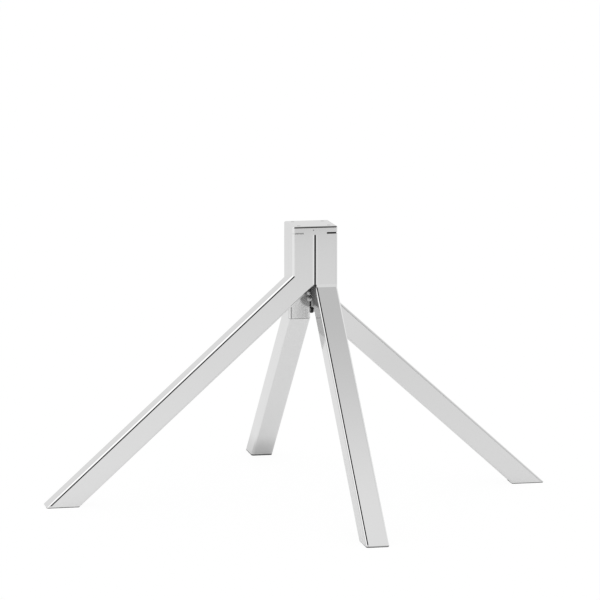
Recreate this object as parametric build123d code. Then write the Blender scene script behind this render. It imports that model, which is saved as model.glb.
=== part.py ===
from build123d import *
import math
import os

os.makedirs("parts", exist_ok=True)

# Coffee table base: four square tubes stand side by side as a hub, and each bends out to its own
# side as a leg. Millimetres. The origin is the middle of the plate's top face, with +Z up.
# +X points right and +Y points back. The left and right legs run along X.

# Square tube
tube_width = 30.0
tube_wall = 2.0
tube_corner_radius = 3.0
least_inner_radius = 0.4

# Stance
base_height = 362.0
leg_slope = 42.1  # degrees below the horizontal
first_knee_depth = 64.5  # from the top face down to the highest knee's inside corner
knee_step = 16.4  # how much lower each next knee lies, going round the hub

# Top plate, with tapped holes for the table top's screws
plate_thickness = 10.0
plate_edge_radius = 2.0
screw_spacing = 40.0
screw_hole_diameter = 5.0
screw_hole_chamfer = 0.8

# Weld between the plate and the tubes, ground flush. It fills the middle of the groove, and on one
# side the whole of it.
groove_size = 2.0
plate_weld_length = 31.0
fully_welded_side = "left"
seam_fill_height = 1.2
seam_root_gap = 0.8

# Weld beads left as laid: two nuggets under the highest knee, down the middle of the hub, and one
# under the third knee, where the right-hand tube bends away from the back one
nugget_radius = 4.3
nugget_sides = 12  # of the outline that is turned into a nugget
nugget_overlap = 0.7  # how far a nugget runs into the next one
nugget_stand_off = 1.4  # from the face behind it to a nugget's centre
centre_bead_shift = 2.2  # from the hub's middle plane sideways to the first nuggets
centre_bead_gap = 14.2  # from the highest knee's outside corner down to the first nugget
centre_nugget_count = 2
under_knee_order = 2
under_knee_drop = 3.8  # from that knee's outside corner down to the nugget
under_knee_setback = 3.4  # from the hub's middle plane back to the nugget

# Feet
foot_plate_thickness = 2.0
glide_thickness = 1.0
glide_inset = 0.6

# Derived sizes
hub_width = 2 * tube_width
half_width = tube_width / 2
inner_width = tube_width - 2 * tube_wall
inner_radius = max(tube_corner_radius - tube_wall, least_inner_radius)
slope = math.radians(leg_slope)
half_bend = (math.pi / 2 - slope) / 2
mitre_rise = tube_width * math.tan(half_bend)
floor_level = -base_height
glide_top = floor_level + glide_thickness
foot_plate_top = glide_top + foot_plate_thickness
foot_length = tube_width / math.sin(slope)
trim_length = 3 * tube_width
down = Vector(0, 0, -1)
leg_direction = Vector(math.cos(slope), 0, -math.sin(slope))

# The side that each leg points to and its turn about Z, from the highest knee to the lowest.
# Every tube is drawn as the right-hand one, at no turn, and then turned to its own side.
sides = [("left", 180), ("front", 270), ("right", 0), ("back", 90)]
front_turn = dict(sides)["front"]


# Sections of the tube, square to its length

def tube_outline():
    return RectangleRounded(tube_width, tube_width, tube_corner_radius)


def tube_block():
    return Rectangle(tube_width, tube_width)


def tube_section():
    return tube_outline() - RectangleRounded(inner_width, inner_width, inner_radius)


# The knee, where the mitre halves the bend

def knee_centre(order):
    depth = first_knee_depth + order * knee_step + mitre_rise / 2
    return Vector(half_width, half_width, -depth)


def mitre_plane(order):
    return Plane(origin=knee_centre(order), x_dir=(0, 1, 0), z_dir=leg_direction + down)


# Upright from the plate down to the mitre, and leg from the mitre past the floor

def upright(order, section):
    start = Plane(origin=(half_width, half_width, -plate_thickness), z_dir=down)
    length = -plate_thickness - knee_centre(order).Z + trim_length
    return split(extrude(start * section, length), bisect_by=mitre_plane(order), keep=Keep.BOTTOM)


def sloping_tube(order, section):
    knee = knee_centre(order)
    start = Plane(origin=knee - leg_direction * trim_length, x_dir=(0, 1, 0), z_dir=leg_direction)
    length = (knee.Z - floor_level) / math.sin(slope) + 2 * trim_length
    return split(extrude(start * section, length), bisect_by=mitre_plane(order), keep=Keep.TOP)


def above(shape, level):
    return split(shape, bisect_by=Plane.XY.offset(level), keep=Keep.TOP)


def below(shape, level):
    return split(shape, bisect_by=Plane.XY.offset(level), keep=Keep.BOTTOM)


# The foot: the leg ends level, closed by a plate of its own outline, with a thin pad under it

def leg(order):
    return above(sloping_tube(order, tube_section()), foot_plate_top)


def foot_plate(order):
    return below(above(sloping_tube(order, tube_outline()), glide_top), foot_plate_top)


def glide(order):
    centre_x = half_width + (knee_centre(order).Z - glide_top) / math.tan(slope)
    pad = RectangleRounded(
        foot_length - 2 * glide_inset, tube_width - 2 * glide_inset, tube_corner_radius
    )
    return extrude(Pos(centre_x, half_width, glide_top) * pad, -glide_thickness)


# The top plate covers the four tubes, with its lower edge bevelled for the weld

def plate_outline():
    return RectangleRounded(hub_width, hub_width, tube_corner_radius)


def plate_blank():
    blank = extrude(plate_outline(), -plate_thickness)
    blank = fillet(blank.faces().sort_by(Axis.Z)[-1].edges(), plate_edge_radius)
    return chamfer(blank.faces().sort_by(Axis.Z)[0].edges(), groove_size)


def top_plate():
    plate = plate_blank()
    hole_radius = screw_hole_diameter / 2
    hole = Cylinder(hole_radius, 2 * plate_thickness)
    mouth = Cone(hole_radius, hole_radius + 2 * screw_hole_chamfer, 2 * screw_hole_chamfer)
    for place in GridLocations(screw_spacing, screw_spacing, 2, 2):
        plate -= place * (hole + mouth)
    return plate


# The plate's weld, whose openings and seam plugs are drawn on the front and turned to each side

def groove_fill():
    return extrude(Pos(0, 0, -plate_thickness) * plate_outline(), groove_size) - plate_blank()


def front_openings():
    # the left-hand stretch ends before the plate's corner, and the right-hand one goes round it
    half_weld = plate_weld_length / 2
    openings = []
    for start, end in ((tube_corner_radius - tube_width, -half_weld), (half_weld, tube_width)):
        stretch = Box(end - start, tube_corner_radius, groove_size, align=(Align.MIN,) * 3)
        openings.append(Pos(start, -tube_width, -plate_thickness) * stretch)
    return openings


def front_seam_plug():
    seam = Pos(0, -tube_width) * Rectangle(
        2 * tube_corner_radius,
        tube_corner_radius - seam_root_gap,
        align=(Align.CENTER, Align.MIN),
    )
    for way in (-1, 1):
        corner = Pos(way * tube_corner_radius, tube_corner_radius - tube_width)
        seam -= corner * Circle(tube_corner_radius)
    return extrude(Pos(0, 0, -plate_thickness) * seam, -seam_fill_height)


def plate_weld():
    weld = groove_fill()
    for side, turn in sides:
        turned = Rot(0, 0, turn - front_turn)
        weld += turned * front_seam_plug()
        if side != fully_welded_side:
            for opening in front_openings():
                weld -= turned * opening
    return weld


# The beads: round nuggets run together, and cut flat where they lie against the tubes

def outside_corner_level(order):
    return knee_centre(order).Z - mitre_rise / 2


def nugget():
    outline = RegularPolygon(nugget_radius, nugget_sides, rotation=180 / nugget_sides)
    half = outline & Pos(nugget_radius, 0) * Rectangle(2 * nugget_radius, 2 * nugget_radius)
    return revolve(Plane.XZ * half, axis=Axis.Z)


def bead(nugget_centres):
    shape = Part()
    for centre in nugget_centres:
        shape += Pos(centre) * nugget()
    for order, (side, turn) in enumerate(sides):
        shape -= Rot(0, 0, turn) * upright(order, tube_block())
        shape -= Rot(0, 0, turn) * sloping_tube(order, tube_block())
    return shape


def centre_weld():
    first = outside_corner_level(0) - centre_bead_gap
    pitch = 2 * nugget_radius - nugget_overlap
    levels = [first - count * pitch for count in range(centre_nugget_count)]
    return bead([Vector(-centre_bead_shift, -nugget_stand_off, level) for level in levels])


def knee_weld():
    level = outside_corner_level(under_knee_order) - under_knee_drop
    return bead([Vector(nugget_stand_off, under_knee_setback, level)])


def save(shape, name):
    export_step(shape, f"parts/{name}.step")


for order, (side, turn) in enumerate(sides):
    turned = Rot(0, 0, turn)
    save(turned * upright(order, tube_section()), f"upright_{side}")
    save(turned * leg(order), f"leg_{side}")
    save(turned * foot_plate(order), f"foot_plate_{side}")
    save(turned * glide(order), f"glide_{side}")

save(top_plate(), "top_plate")
save(plate_weld(), "plate_weld")
save(centre_weld(), "centre_weld")
save(knee_weld(), "knee_weld")
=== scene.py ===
import math
import bpy
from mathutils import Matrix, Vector


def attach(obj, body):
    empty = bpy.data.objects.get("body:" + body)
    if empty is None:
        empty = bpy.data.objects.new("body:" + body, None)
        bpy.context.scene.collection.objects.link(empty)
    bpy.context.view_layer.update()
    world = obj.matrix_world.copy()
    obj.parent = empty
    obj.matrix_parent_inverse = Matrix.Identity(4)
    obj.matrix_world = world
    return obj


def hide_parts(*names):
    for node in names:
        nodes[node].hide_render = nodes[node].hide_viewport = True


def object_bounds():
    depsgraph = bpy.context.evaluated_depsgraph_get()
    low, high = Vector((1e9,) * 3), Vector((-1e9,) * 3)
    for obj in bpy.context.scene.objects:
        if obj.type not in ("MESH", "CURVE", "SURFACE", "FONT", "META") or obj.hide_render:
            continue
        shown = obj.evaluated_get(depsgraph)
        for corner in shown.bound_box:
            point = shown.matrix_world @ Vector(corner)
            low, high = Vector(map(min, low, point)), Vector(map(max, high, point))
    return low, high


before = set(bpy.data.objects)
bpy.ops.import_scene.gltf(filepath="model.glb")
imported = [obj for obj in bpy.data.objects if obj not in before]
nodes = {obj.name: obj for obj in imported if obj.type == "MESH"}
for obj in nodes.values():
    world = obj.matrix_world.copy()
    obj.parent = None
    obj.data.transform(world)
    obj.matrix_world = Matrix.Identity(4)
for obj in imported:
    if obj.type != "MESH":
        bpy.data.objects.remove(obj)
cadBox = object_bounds()
sideTurns = {"left": 180, "front": 270, "right": 0, "back": 90}  # way each leg points, about Z


def newMaterial(name):
    material = bpy.data.materials.new(name)
    material.use_nodes = True
    tree = material.node_tree
    for node in list(tree.nodes):
        if node.type != "OUTPUT_MATERIAL":
            tree.nodes.remove(node)
    return material, tree


def link(tree, source, target):
    tree.links.new(source, target)


def feed(tree, value, socket):
    # a plain number is set on the socket, and a node's output is linked to it
    if isinstance(value, (int, float)):
        socket.default_value = value
    else:
        link(tree, value, socket)


def toSurface(tree, source):
    link(tree, source, tree.nodes["Material Output"].inputs["Surface"])


def addNode(tree, kind, **values):
    node = tree.nodes.new(kind)
    for key, value in values.items():
        setattr(node, key, value)
    return node


def mapValue(tree, source, low, high, newLow, newHigh, smooth=False):
    node = addNode(tree, "ShaderNodeMapRange")
    node.interpolation_type = "SMOOTHSTEP" if smooth else "LINEAR"
    node.inputs["From Min"].default_value = low
    node.inputs["From Max"].default_value = high
    node.inputs["To Min"].default_value = newLow
    node.inputs["To Max"].default_value = newHigh
    link(tree, source, node.inputs["Value"])
    return node.outputs["Result"]


def mathNode(tree, operation, first, second=None):
    node = addNode(tree, "ShaderNodeMath", operation=operation)
    for socket, value in zip(node.inputs, (first, second)):
        if value is not None:
            feed(tree, value, socket)
    return node.outputs[0]


def noise(tree, vector, scale, detail):
    node = addNode(tree, "ShaderNodeTexNoise")
    node.inputs["Scale"].default_value = scale
    node.inputs["Detail"].default_value = detail
    link(tree, vector, node.inputs["Vector"])
    return node.outputs["Fac"]


def objectPoint(tree, turn=(0, 0, 0), stretch=(1, 1, 1), shift=(0, 0, 0)):
    coord = addNode(tree, "ShaderNodeTexCoord")
    mapping = addNode(tree, "ShaderNodeMapping")
    mapping.inputs["Location"].default_value = shift
    mapping.inputs["Rotation"].default_value = turn
    mapping.inputs["Scale"].default_value = stretch
    link(tree, coord.outputs["Object"], mapping.inputs["Vector"])
    return mapping.outputs["Vector"]


def ballMask(tree, point, centre, full, edge):
    # 1 within the radius full round the centre, and 0 past the radius edge
    offset = addNode(tree, "ShaderNodeVectorMath", operation="DISTANCE")
    offset.inputs[1].default_value = centre
    link(tree, point, offset.inputs[0])
    return mapValue(tree, offset.outputs["Value"], full, edge, 1, 0, smooth=True)


def bandMask(tree, value, low, high, blend):
    # 1 between low and high
    rising = mapValue(tree, value, low - blend, low, 0, 1, smooth=True)
    falling = mapValue(tree, value, high, high + blend, 1, 0, smooth=True)
    return mathNode(tree, "MULTIPLY", rising, falling)


def axes(tree, vector):
    apart = addNode(tree, "ShaderNodeSeparateXYZ")
    link(tree, vector, apart.inputs[0])
    return apart.outputs


def product(tree, *values):
    total = values[0]
    for value in values[1:]:
        total = mathNode(tree, "MULTIPLY", total, value)
    return total


def alongWay(tree, vector, way):
    # how far the vector reaches along the way
    dot = addNode(tree, "ShaderNodeVectorMath", operation="DOT_PRODUCT")
    dot.inputs[1].default_value = way
    link(tree, vector, dot.inputs[0])
    return dot.outputs["Value"]


def greyColour(tree, grey):
    colour = addNode(tree, "ShaderNodeCombineColor")
    for channel in colour.inputs[:3]:
        link(tree, grey, channel)
    return colour.outputs[0]


def addBump(tree, shader, height, distance):
    bump = addNode(tree, "ShaderNodeBump")
    bump.inputs["Distance"].default_value = distance
    link(tree, height, bump.inputs["Height"])
    link(tree, bump.outputs["Normal"], shader.inputs["Normal"])


legSlope = math.radians(42.1)  # below the level

# Polished steel of the tubes, with the fine grain that the polishing belt leaves along them
polish = {
    "grey": 0.755,
    "roughLow": 0.03,
    "roughHigh": 0.06,
    "cloudScale": 9.0,  # smudges, per metre
    "cloudRange": (0.3, 0.7),
    "grainScale": 900.0,
    "grainStretch": 0.012,  # along the tube
    "grainHeight": 0.0000012,
    "waveScale": 14.0,
    "waveHeight": 0.00002,
}

# What the welding leaves: a heat tint round the centre weld, and inner faces that no belt reaches;
# the side values paint shade on the front tube's inner side under the left leg
heat = {
    "centre": (0, 0, -0.0970),
    "full": 0.0125,
    "edge": 0.0162,
    "rough": 0.55,
    "grey": 0.41,  # the oxide is matt
    "sideAlong": (-0.070, 0.001),  # on the front tube's inner side, its ends along Y
    "sideLevels": (-0.1035, -0.060),
    "sideBlend": 0.003,
    "sideDepth": 0.0001,  # from the middle plane
    "sideShadeGrey": 0.19,
    "innerDepth": 0.004,  # from the middle planes, where the inner faces lie
    "innerReach": 0.027,
    "innerTop": -0.070,
    "innerRough": 0.24,
    "innerGrey": 0.87,
}

# Marks on the steel, each a box given by its two ends along X, Y and Z and then its grey: painted
# shade in the open joint, down the seams and in dark corners, painted highlights and painted
# reflections, ground knee seams and a brighter ground band.
# Where three more numbers follow, they are its softness along X, Y and Z.
# Painted shade in the open joint between the plate and the front upright, right of the weld
jointShade = [((0.0155, 0.031), (-0.031, -0.026), (-0.0101, -0.0083), 0.03)]
uprightLightAndMarks = [
    # Painted highlights on both sides of the front seam
    ((-0.0032, -0.0016), (-0.031, -0.0282), (-0.0780, -0.0112), 0.93),
    ((0.0016, 0.0030), (-0.031, -0.0282), (-0.0790, -0.0112), 0.82),
    # Painted highlight down the hub's front left corner
    ((-0.031, -0.0272), (-0.031, -0.0272), (-0.0645, 0), 0.86),
    # Painted shade down the four seams between the tubes
    ((-0.0010, 0.0010), (-0.031, -0.0265), (-0.0800, -0.0112), 0.03),
    ((-0.0009, 0.0009), (0.0265, 0.031), (-0.1130, -0.0112), 0.03),
    ((-0.031, -0.0265), (-0.0009, 0.0009), (-0.0650, -0.0112), 0.03),
    ((0.0265, 0.031), (-0.0009, 0.0009), (-0.0970, -0.0112), 0.03),
    # Painted shade in the dark corner under the left leg's knee, by the front seam
    ((-0.0010, 0.0030), (-0.0305, -0.0250), (-0.0815, -0.0775), 0.03),
    # A painted highlight strip and, beside it, a painted reflection as a dark line on the back tube's
    # front face
    ((-0.0298, -0.0267), (-0.001, 0.0008), (-0.126, -0.104), 0.88),
    ((-0.0267, -0.0254), (-0.001, 0.0008), (-0.128, -0.104), 0.35),
    # Painted shade in the seam between the back and right tubes, under the knee
    ((-0.0010, 0.0008), (-0.001, 0.004), (-0.1125, -0.103), 0.05),
    ((-0.030, -0.0005), (-0.0008, 0.0008), (-0.128, -0.1262), 0.45),
    ((0.002, 0.031), (-0.031, -0.029), (-0.0808, -0.0772), 0.80),
    *jointShade,
]
platePaintedLight = [
    # Painted highlight down the plate's front left corner
    ((-0.031, -0.0272), (-0.031, -0.0272), (-0.0105, 0), 0.86),
    # Painted reflections as dark lines along the plate's upper front edge
    ((-0.0275, 0.031), (-0.031, -0.0280), (-0.0016, -0.0004), 0.25),
    ((-0.0280, 0.0280), (-0.031, -0.0285), (-0.0020, -0.0011), 0.02),
    *jointShade,
]
# Painted light on the legs: painted shade on the front leg's inner side as far as the hub shades it,
# a painted highlight strip along the back leg's left corner, a painted reflection as a dark line
# along the front leg's upper left edge, and painted shade darkening the back leg's foot
legPaintedLight = [
    ((-0.001, 0.0004), (-0.12, -0.002), (-0.1355, -0.080), 0.47, 0.0002, 0.0002, 0.0040),
    ((-0.0298, -0.0279), (0, 0.40), (-0.365, -0.126), 0.84),
    ((0.00190, 0.00310), (-0.40, -0.0275), (-0.365, -0.0785), 0.015),
    ((-0.040, 0.010), (0.18, 0.50), (-0.390, -0.353), 0.58, 0.030, 0.030, 0.030),
]
# Painted shade on the front and back foot plates, at the floor
footShade = [
    ((-0.01, 0.04), (-0.40, -0.325), (-0.3620, -0.3603), 0.40),
    ((-0.04, 0.01), (0.20, 0.40), (-0.3620, -0.3598), 0.15),
]
# A painted reflection: the dark line along the left leg's upper front edge, by the depth under the
# leg's upper face
edgeReflection = {
    "corner": (-0.030, 0, -0.0645),  # the knee's inside corner
    "depths": (-0.0030, -0.0017),
    "across": (-0.031, -0.0262),
    "grey": 0.015,
}
pore = {"centre": (-0.0024, -0.0300, -0.0050), "full": 0.0005, "edge": 0.0010, "grey": 0.2}
markBlend = 0.0002  # a mark's softness where none is given


def paint(tree, base, mask, grey):
    # the base grey turned towards another one where the mask is 1
    mix = addNode(tree, "ShaderNodeMix", data_type="FLOAT")
    link(tree, mask, mix.inputs["Factor"])
    feed(tree, base, mix.inputs["A"])
    feed(tree, grey, mix.inputs["B"])
    return mix.outputs["Result"]


def nearPlane(tree, value, depth):
    # 1 up to this depth on both sides of the middle plane
    return mathNode(tree, "LESS_THAN", mathNode(tree, "ABSOLUTE", value), depth)


def paintMarks(tree, grey, place, marks):
    for xRange, yRange, zRange, markGrey, *blend in marks:
        ranges = zip(place, (xRange, yRange, zRange))
        blends = blend or [markBlend] * 3
        bands = [bandMask(tree, value, *ends, soft) for (value, ends), soft in zip(ranges, blends)]
        grey = paint(tree, grey, product(tree, *bands), markGrey)
    return grey


def innerMask(tree, x, y, z):
    # the tubes' faces inside the hub, below the first knee
    depth, reach = heat["innerDepth"], heat["innerReach"]
    alongX = product(tree, nearPlane(tree, x, depth), nearPlane(tree, y, reach))
    alongY = product(tree, nearPlane(tree, y, depth), nearPlane(tree, x, reach))
    low = mathNode(tree, "LESS_THAN", z, heat["innerTop"])
    return product(tree, mathNode(tree, "MAXIMUM", alongX, alongY), low)


def sideShadeMask(tree, x, y, z):
    # painted shade on the front tube's inner side, in the crevice under the left leg
    along = bandMask(tree, y, *heat["sideAlong"], heat["sideBlend"])
    levels = bandMask(tree, z, *heat["sideLevels"], heat["sideBlend"])
    return product(tree, along, levels, nearPlane(tree, x, heat["sideDepth"]))


def edgeReflectionMask(tree, point, y):
    # the left leg's dark line, a painted reflection
    upperFace = Vector((-math.sin(legSlope), 0, math.cos(legSlope)))
    level = upperFace.dot(Vector(edgeReflection["corner"]))
    ends = [level + end for end in edgeReflection["depths"]]
    line = bandMask(tree, alongWay(tree, point, upperFace), *ends, markBlend)
    return product(tree, line, bandMask(tree, y, *edgeReflection["across"], markBlend))


def polishedSteel(name, turn, values, worn=None):
    material, tree = newMaterial(name)
    shader = addNode(tree, "ShaderNodeBsdfPrincipled")
    shader.inputs["Metallic"].default_value = 1.0
    plain = objectPoint(tree)
    place = axes(tree, plain)
    alongTube = objectPoint(tree, turn=turn, stretch=(1, 1, values["grainStretch"]))
    cloud = noise(tree, plain, values["cloudScale"], detail=3.0)
    grain = noise(tree, alongTube, values["grainScale"], detail=2.0)
    wave = noise(tree, plain, values["waveScale"], detail=1.0)
    grey = values["grey"]
    rough = mapValue(tree, cloud, *values["cloudRange"], values["roughLow"], values["roughHigh"])
    if worn == "upright":
        inner = innerMask(tree, *place)
        rough = paint(tree, rough, inner, heat["innerRough"])
        grey = paint(tree, grey, inner, heat["innerGrey"])
    if worn in ("plate", "foot"):
        grey = paintMarks(tree, grey, place, platePaintedLight if worn == "plate" else footShade)
    if worn in ("upright", "leg"):
        marks = uprightLightAndMarks if worn == "upright" else legPaintedLight
        ball = ballMask(tree, plain, heat["centre"], heat["full"], heat["edge"])
        grey = paintMarks(tree, paint(tree, grey, ball, heat["grey"]), place, marks)
        side = sideShadeMask(tree, *place)
        tintAndShade = mathNode(tree, "MAXIMUM", ball, side)
        grey = paint(tree, grey, side, heat["sideShadeGrey"])
        rough = paint(tree, rough, tintAndShade, heat["rough"])
        # round the weld it is bare oxide, and the painted shade on the front tube's inner side is
        # matt too; neither has a metal's shine
        link(tree, paint(tree, 1.0, tintAndShade, 0.0), shader.inputs["Metallic"])
        link(tree, paint(tree, 0.5, tintAndShade, 0.0), shader.inputs["Specular IOR Level"])
    if worn == "leg":
        grey = paint(tree, grey, edgeReflectionMask(tree, plain, place[1]), edgeReflection["grey"])
    if worn == "plate":
        dot = ballMask(tree, plain, pore["centre"], pore["full"], pore["edge"])
        grey = paint(tree, grey, dot, pore["grey"])
    if isinstance(grey, float):
        shader.inputs["Base Color"].default_value = (grey,) * 3 + (1,)
    else:
        link(tree, greyColour(tree, grey), shader.inputs["Base Color"])
    link(tree, rough, shader.inputs["Roughness"])
    height = mathNode(tree, "MULTIPLY", grain, values["grainHeight"])
    swell = mathNode(tree, "MULTIPLY", wave, values["waveHeight"])
    addBump(tree, shader, mathNode(tree, "ADD", height, swell), 1.0)
    toSurface(tree, shader.outputs["BSDF"])
    return material


def dress(node, material):
    nodes[node].data.materials.clear()
    nodes[node].data.materials.append(material)


plainSteel = polishedSteel("plainSteel", (0, 0, 0), polish)
plateSteel = polishedSteel("plateSteel", (0, 0, 0), polish, worn="plate")
uprightSteel = polishedSteel("uprightSteel", (0, 0, 0), polish, worn="upright")
footSteel = polishedSteel("footSteel", (0, 0, 0), polish, worn="foot")
for side, degrees in sideTurns.items():
    # the leg's length is turned back on to Z, so that the grain follows it
    heading = math.radians(degrees)
    level = math.cos(legSlope)
    alongLeg = Vector((math.cos(heading) * level, math.sin(heading) * level, -math.sin(legSlope)))
    turnBack = alongLeg.rotation_difference(Vector((0, 0, -1))).to_euler()
    dress(f"upright_{side}", uprightSteel)
    dress(f"leg_{side}", polishedSteel(f"legSteel_{side}", tuple(turnBack), polish, worn="leg"))
    dress(f"foot_plate_{side}", footSteel)
dress("top_plate", plateSteel)
dress("plate_weld", plainSteel)
print("tubes polished")


# Weld beads as laid: uneven nuggets with ripples, cut flat where they lie on the tubes. The one under
# the knee has painted shade in the corner's depth.
bead = {
    "greys": (0.468, 0.572),  # spotted between these
    "spotRange": (0.3, 0.7),
    "rough": 0.42,
    "rippleScale": 260.0,
    "rippleHeight": 0.00035,
    "radius": 0.0043,
    "segments": 48,
    "rings": 24,
    "lumpSize": 0.0035,
    "lumpHeight": 0.0007,
    "lumpMiddle": 0.6,
    "cutterSize": 0.03,
    "smoothAngle": 50,
}
# Each cutter is a place and a turn, and stands for the tube that the bead lies on
centreBead = {
    "node": "centre_weld",
    "centres": ((-0.0022, -0.0014, -0.0919), (-0.0022, -0.0014, -0.0998)),
    "sag": 1.0,
    "cutters": (((0, 0.015, -0.096), (0, 0, 0)), ((0.015, -0.01006, -0.08307), (legSlope, 0, 0))),
    "marks": [],
}
kneeBead = {
    "node": "knee_weld",
    "centres": ((0.0020, 0.0034, -0.1154),),
    "sag": 1.12,
    "cutters": (((-0.015, 0.015, -0.115), (0, 0, 0)), ((0.01006, 0.015, -0.09947), (0, legSlope, 0))),
    # painted shade on the knee bead, in the corner's depth
    "marks": [((0.0002, 0.0040), (-0.02, 0.02), (-0.126, -0.1124), 0.03)],
}


def beadSteel(name, marks):
    material, tree = newMaterial(name)
    shader = addNode(tree, "ShaderNodeBsdfPrincipled")
    point = objectPoint(tree)
    spots = noise(tree, point, bead["rippleScale"], detail=1.0)
    base = mapValue(tree, spots, *bead["spotRange"], *bead["greys"])
    grey = paintMarks(tree, base, axes(tree, point), marks)
    link(tree, greyColour(tree, grey), shader.inputs["Base Color"])
    shader.inputs["Metallic"].default_value = 1.0
    shader.inputs["Roughness"].default_value = bead["rough"]
    ripple = noise(tree, point, bead["rippleScale"], detail=2.0)
    addBump(tree, shader, ripple, bead["rippleHeight"])
    toSurface(tree, shader.outputs["BSDF"])
    return material


def selectOnly(piece):
    bpy.ops.object.select_all(action="DESELECT")
    bpy.context.view_layer.objects.active = piece
    piece.select_set(True)


def nuggetBall(centre, sag):
    bpy.ops.object.select_all(action="DESELECT")
    bpy.ops.mesh.primitive_uv_sphere_add(
        segments=bead["segments"], ring_count=bead["rings"], radius=bead["radius"], location=centre
    )
    ball = bpy.context.object
    ball.scale = (1, 1, sag)
    bpy.ops.object.transform_apply(location=True, rotation=True, scale=True)
    lumps = bpy.data.textures.new("lumps", "CLOUDS")
    lumps.noise_scale = bead["lumpSize"]
    displace = ball.modifiers.new("lumps", "DISPLACE")
    displace.texture = lumps
    displace.texture_coords = "LOCAL"
    displace.strength = bead["lumpHeight"]
    displace.mid_level = bead["lumpMiddle"]
    bpy.ops.object.modifier_apply(modifier=displace.name)
    return ball


def tubeCutter(place, turn):
    bpy.ops.object.select_all(action="DESELECT")
    bpy.ops.mesh.primitive_cube_add(size=bead["cutterSize"], location=place, rotation=turn)
    bpy.ops.object.transform_apply(location=True, rotation=True, scale=True)
    return bpy.context.object


def combine(piece, other, operation):
    selectOnly(piece)
    step = piece.modifiers.new("combine", "BOOLEAN")
    step.operation = operation
    step.solver = "EXACT"
    step.object = other
    bpy.ops.object.modifier_apply(modifier=step.name)
    bpy.data.objects.remove(other)


def layBead(name, values):
    piece, *others = [nuggetBall(centre, values["sag"]) for centre in values["centres"]]
    for other in others:
        combine(piece, other, "UNION")
    for place, turn in values["cutters"]:
        combine(piece, tubeCutter(place, turn), "DIFFERENCE")
    selectOnly(piece)
    piece.name = name
    bpy.ops.object.shade_smooth_by_angle(angle=math.radians(bead["smoothAngle"]))
    material = beadSteel(name + "Steel", values["marks"])
    piece.data.materials.clear()
    piece.data.materials.append(material)
    dress(values["node"], material)
    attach(piece, "root")
    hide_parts(values["node"])
    print(name, "laid,", len(piece.data.polygons), "faces")


layBead("centreBead", centreBead)
layBead("kneeBead", kneeBead)

# Glide pads, dark and matt
glide = {"grey": 0.05, "rough": 0.7, "speckScale": 900.0, "speckHeight": 0.0001}


def glidePad():
    material, tree = newMaterial("glidePad")
    shader = addNode(tree, "ShaderNodeBsdfPrincipled")
    shader.inputs["Base Color"].default_value = (glide["grey"],) * 3 + (1,)
    shader.inputs["Roughness"].default_value = glide["rough"]
    speck = noise(tree, objectPoint(tree), glide["speckScale"], detail=2.0)
    addBump(tree, shader, speck, glide["speckHeight"])
    toSurface(tree, shader.outputs["BSDF"])
    return material


padMaterial = glidePad()
for side in sideTurns:
    dress(f"glide_{side}", padMaterial)

# Floor: white to the camera, and to the steel a white table that greys with distance
floor = {
    "size": 40.0,
    "cameraGlow": 0.93,
    "cameraDiffuse": 0.09,
    "steelGlow": 0.45,
    "steelDiffuse": 0.55,
    "fadeFrom": -0.2,  # towards the camera the table greys
    "fadeTo": -2.6,
    "fadeLevel": 0.85,
    "backFrom": 1.2,  # and a little behind the object
    "backTo": 2.4,
    "backLevel": 0.94,
    "tableEnd": -2.9,  # past its front edge it is dark
    "tableBlend": 0.3,
    "tableDark": 0.02,
    "brightWay": (-0.9, -0.45, 0),
    "brightFrom": 0.1,
    "brightTo": 0.35,
    "brightLevel": 1.07,
}


def floorWhite():
    material, tree = newMaterial("floorWhite")
    paths = addNode(tree, "ShaderNodeLightPath")
    coord = addNode(tree, "ShaderNodeTexCoord")
    y = axes(tree, coord.outputs["Object"])[1]
    fade = mapValue(tree, y, floor["fadeTo"], floor["fadeFrom"], floor["fadeLevel"], 1.0)
    forward = alongWay(tree, coord.outputs["Object"], floor["brightWay"])
    lift = mapValue(
        tree, forward, floor["brightFrom"], floor["brightTo"], 1.0, floor["brightLevel"], smooth=True
    )
    back = mapValue(tree, y, floor["backFrom"], floor["backTo"], 1.0, floor["backLevel"])
    tableEdge = floor["tableEnd"] + floor["tableBlend"]
    table = mapValue(tree, y, floor["tableEnd"], tableEdge, floor["tableDark"], 1.0, smooth=True)
    steelLevel = product(tree, fade, back, lift, table)
    shaders = []
    for glow, diffuse, level in (
        (floor["cameraGlow"], floor["cameraDiffuse"], None),
        (floor["steelGlow"], floor["steelDiffuse"], steelLevel),
    ):
        emission = addNode(tree, "ShaderNodeEmission")
        lambert = addNode(tree, "ShaderNodeBsdfDiffuse")
        total = addNode(tree, "ShaderNodeAddShader")
        if level is None:
            emission.inputs["Strength"].default_value = glow
            lambert.inputs["Color"].default_value = (diffuse,) * 3 + (1,)
        else:
            link(tree, mathNode(tree, "MULTIPLY", level, glow), emission.inputs["Strength"])
            link(tree, mathNode(tree, "MULTIPLY", level, diffuse), lambert.inputs["Color"])
        link(tree, emission.outputs[0], total.inputs[0])
        link(tree, lambert.outputs[0], total.inputs[1])
        shaders.append(total)
    choice = addNode(tree, "ShaderNodeMixShader")
    link(tree, paths.outputs["Is Camera Ray"], choice.inputs["Fac"])
    link(tree, shaders[1].outputs[0], choice.inputs[1])
    link(tree, shaders[0].outputs[0], choice.inputs[2])
    toSurface(tree, choice.outputs[0])
    return material


floorLevel = cadBox[0].z
bpy.ops.object.select_all(action="DESELECT")
bpy.ops.mesh.primitive_plane_add(size=floor["size"], location=(0, 0, floorLevel))
floorPlane = bpy.context.object
floorPlane.name = "studioFloor"
floorPlane.data.materials.append(floorWhite())

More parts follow.
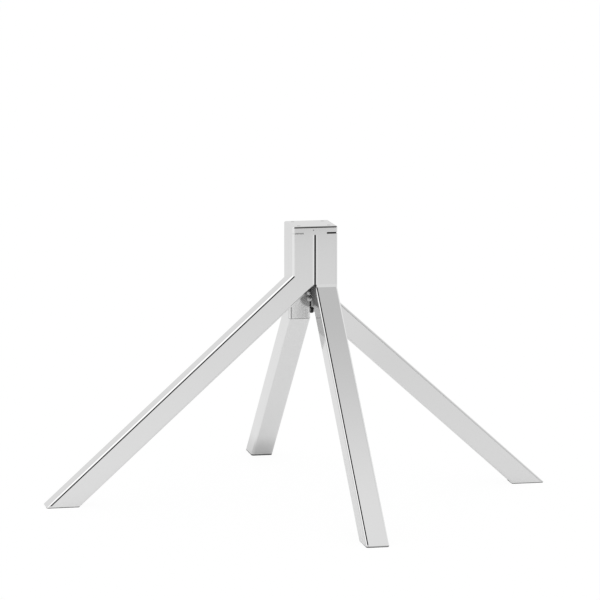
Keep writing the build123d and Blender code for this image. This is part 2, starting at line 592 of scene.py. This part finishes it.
# Studio round the object: plain white to the camera, and to the steel white too, but brighter to both
# sides and behind, and dimmer to the front right
studio = {
    "white": 1.03,
    "sideWay": (1, 0.45, 0),  # brighter both this way and the opposite one
    "sideSpread": (0.80, 0.92),
    "sideLevel": 1.25,
    "dimWay": (0.8, -0.6, 0),
    "dimSpread": (0.75, 0.95),
    "dimLevel": 0.90,
    "backSpread": (0.5, 0.9),  # along Y
    "backEnd": (0.1, -0.05),  # along X, so that it is brighter only left of the middle
    "backLevel": 1.08,
}


def makeWorld():
    world = bpy.data.worlds.new("studio")
    bpy.context.scene.world = world
    world.use_nodes = True
    tree = world.node_tree
    tree.nodes.clear()
    output = addNode(tree, "ShaderNodeOutputWorld")
    coord = addNode(tree, "ShaderNodeTexCoord")
    flat = addNode(tree, "ShaderNodeVectorMath", operation="MULTIPLY")
    flat.inputs[1].default_value = (1, 1, 0)
    link(tree, coord.outputs["Generated"], flat.inputs[0])
    unit = addNode(tree, "ShaderNodeVectorMath", operation="NORMALIZE")
    link(tree, flat.outputs[0], unit.inputs[0])
    sideReach = alongWay(tree, unit.outputs[0], Vector(studio["sideWay"]).normalized())
    sideways = mathNode(tree, "ABSOLUTE", sideReach)
    sides = mapValue(tree, sideways, *studio["sideSpread"], 0, 1, smooth=True)
    x, y = axes(tree, coord.outputs["Generated"])[:2]
    behind = mapValue(tree, y, *studio["backSpread"], 0, 1, smooth=True)
    behind = product(tree, behind, mapValue(tree, x, *studio["backEnd"], 0, 1, smooth=True))
    white = paint(tree, studio["white"], behind, studio["backLevel"])
    white = paint(tree, white, sides, studio["sideLevel"])
    dimReach = alongWay(tree, unit.outputs[0], Vector(studio["dimWay"]).normalized())
    dimMask = mapValue(tree, dimReach, *studio["dimSpread"], 0, 1, smooth=True)
    white = paint(tree, white, dimMask, studio["dimLevel"])
    steelView = addNode(tree, "ShaderNodeBackground")
    link(tree, white, steelView.inputs["Strength"])
    plainView = addNode(tree, "ShaderNodeBackground")
    paths = addNode(tree, "ShaderNodeLightPath")
    choice = addNode(tree, "ShaderNodeMixShader")
    link(tree, paths.outputs["Is Glossy Ray"], choice.inputs["Fac"])
    link(tree, plainView.outputs[0], choice.inputs[1])
    link(tree, steelView.outputs[0], choice.inputs[2])
    whiteView = addNode(tree, "ShaderNodeBackground")
    whiteView.inputs["Color"].default_value = (1, 1, 1, 1)
    seen = addNode(tree, "ShaderNodeMixShader")
    link(tree, paths.outputs["Is Camera Ray"], seen.inputs["Fac"])
    link(tree, choice.outputs[0], seen.inputs[1])
    link(tree, whiteView.outputs[0], seen.inputs[2])
    link(tree, seen.outputs[0], output.inputs["Surface"])


makeWorld()

# Overhead panel that only the steel sees: its right part is brighter towards the camera, its middle
# is even, and its left part grows stronger to the left
overhead = {
    "size": (3.3, 2.8),
    "centre": (-0.35, 0.6),
    "height": 1.3,
    "dim": 0.66,
    "bright": 0.94,
    "dimAt": -0.12,
    "brightAt": -0.5,
    "middle": 0.66,
    "middleRight": 0.22,
    "middleLeft": -0.95,
    "middleBlend": 0.05,
    "near": 1.0,
    "strong": 1.5,
    "strongFrom": -0.95,
    "strongTo": -1.15,
}


def overheadGlow():
    material, tree = newMaterial("overheadGlow")
    centre = (overhead["centre"][0], overhead["centre"][1], 0)
    x, y = axes(tree, objectPoint(tree, shift=centre))[:2]
    soft = mapValue(
        tree, y, overhead["brightAt"], overhead["dimAt"],
        overhead["bright"], overhead["dim"], smooth=True,
    )
    blend = overhead["middleBlend"]
    rightEnd, leftEnd = overhead["middleRight"], overhead["middleLeft"]
    right = mapValue(tree, x, rightEnd, rightEnd + blend, 0, 1, smooth=True)
    left = mapValue(tree, x, leftEnd - blend, leftEnd, 1, 0, smooth=True)
    strong = mapValue(
        tree, x, overhead["strongTo"], overhead["strongFrom"], overhead["strong"], overhead["near"]
    )
    level = paint(tree, overhead["middle"], right, soft)
    level = paint(tree, level, left, strong)
    emission = addNode(tree, "ShaderNodeEmission")
    link(tree, level, emission.inputs["Strength"])
    toSurface(tree, emission.outputs[0])
    return material


bpy.ops.object.select_all(action="DESELECT")
bpy.ops.mesh.primitive_plane_add(size=1, location=(*overhead["centre"], overhead["height"]))
panel = bpy.context.object
panel.name = "overheadPanel"
panel.scale = (*overhead["size"], 1)
bpy.ops.object.transform_apply(location=False, rotation=False, scale=True)
panel.data.materials.append(overheadGlow())
panel.visible_camera = False
panel.visible_diffuse = False
panel.visible_shadow = False
panel.visible_transmission = False
print("studio set")

# Camera, at the photograph's viewing angle
cameraPlace = {
    "target": (-0.01424, 0.0, -0.10175),
    "distance": 4.945,
    "azimuth": -11.65,
    "elevation": 9.02,
    "lens": 224.7,
    "sensor": 36.0,
    "clip": (0.1, 100.0),
}


def makeCamera():
    data = bpy.data.cameras.new("camera")
    data.lens = cameraPlace["lens"]
    data.sensor_width = cameraPlace["sensor"]
    data.clip_start, data.clip_end = cameraPlace["clip"]
    camera = bpy.data.objects.new("camera", data)
    bpy.context.scene.collection.objects.link(camera)
    azimuth = math.radians(cameraPlace["azimuth"])
    elevation = math.radians(cameraPlace["elevation"])
    away = Vector((
        math.sin(azimuth) * math.cos(elevation),
        -math.cos(azimuth) * math.cos(elevation),
        math.sin(elevation),
    ))
    camera.location = Vector(cameraPlace["target"]) + away * cameraPlace["distance"]
    camera.rotation_mode = "QUATERNION"
    camera.rotation_quaternion = (-away).to_track_quat("-Z", "Y")
    bpy.context.scene.camera = camera


makeCamera()
bpy.context.scene.view_settings.view_transform = "Standard"
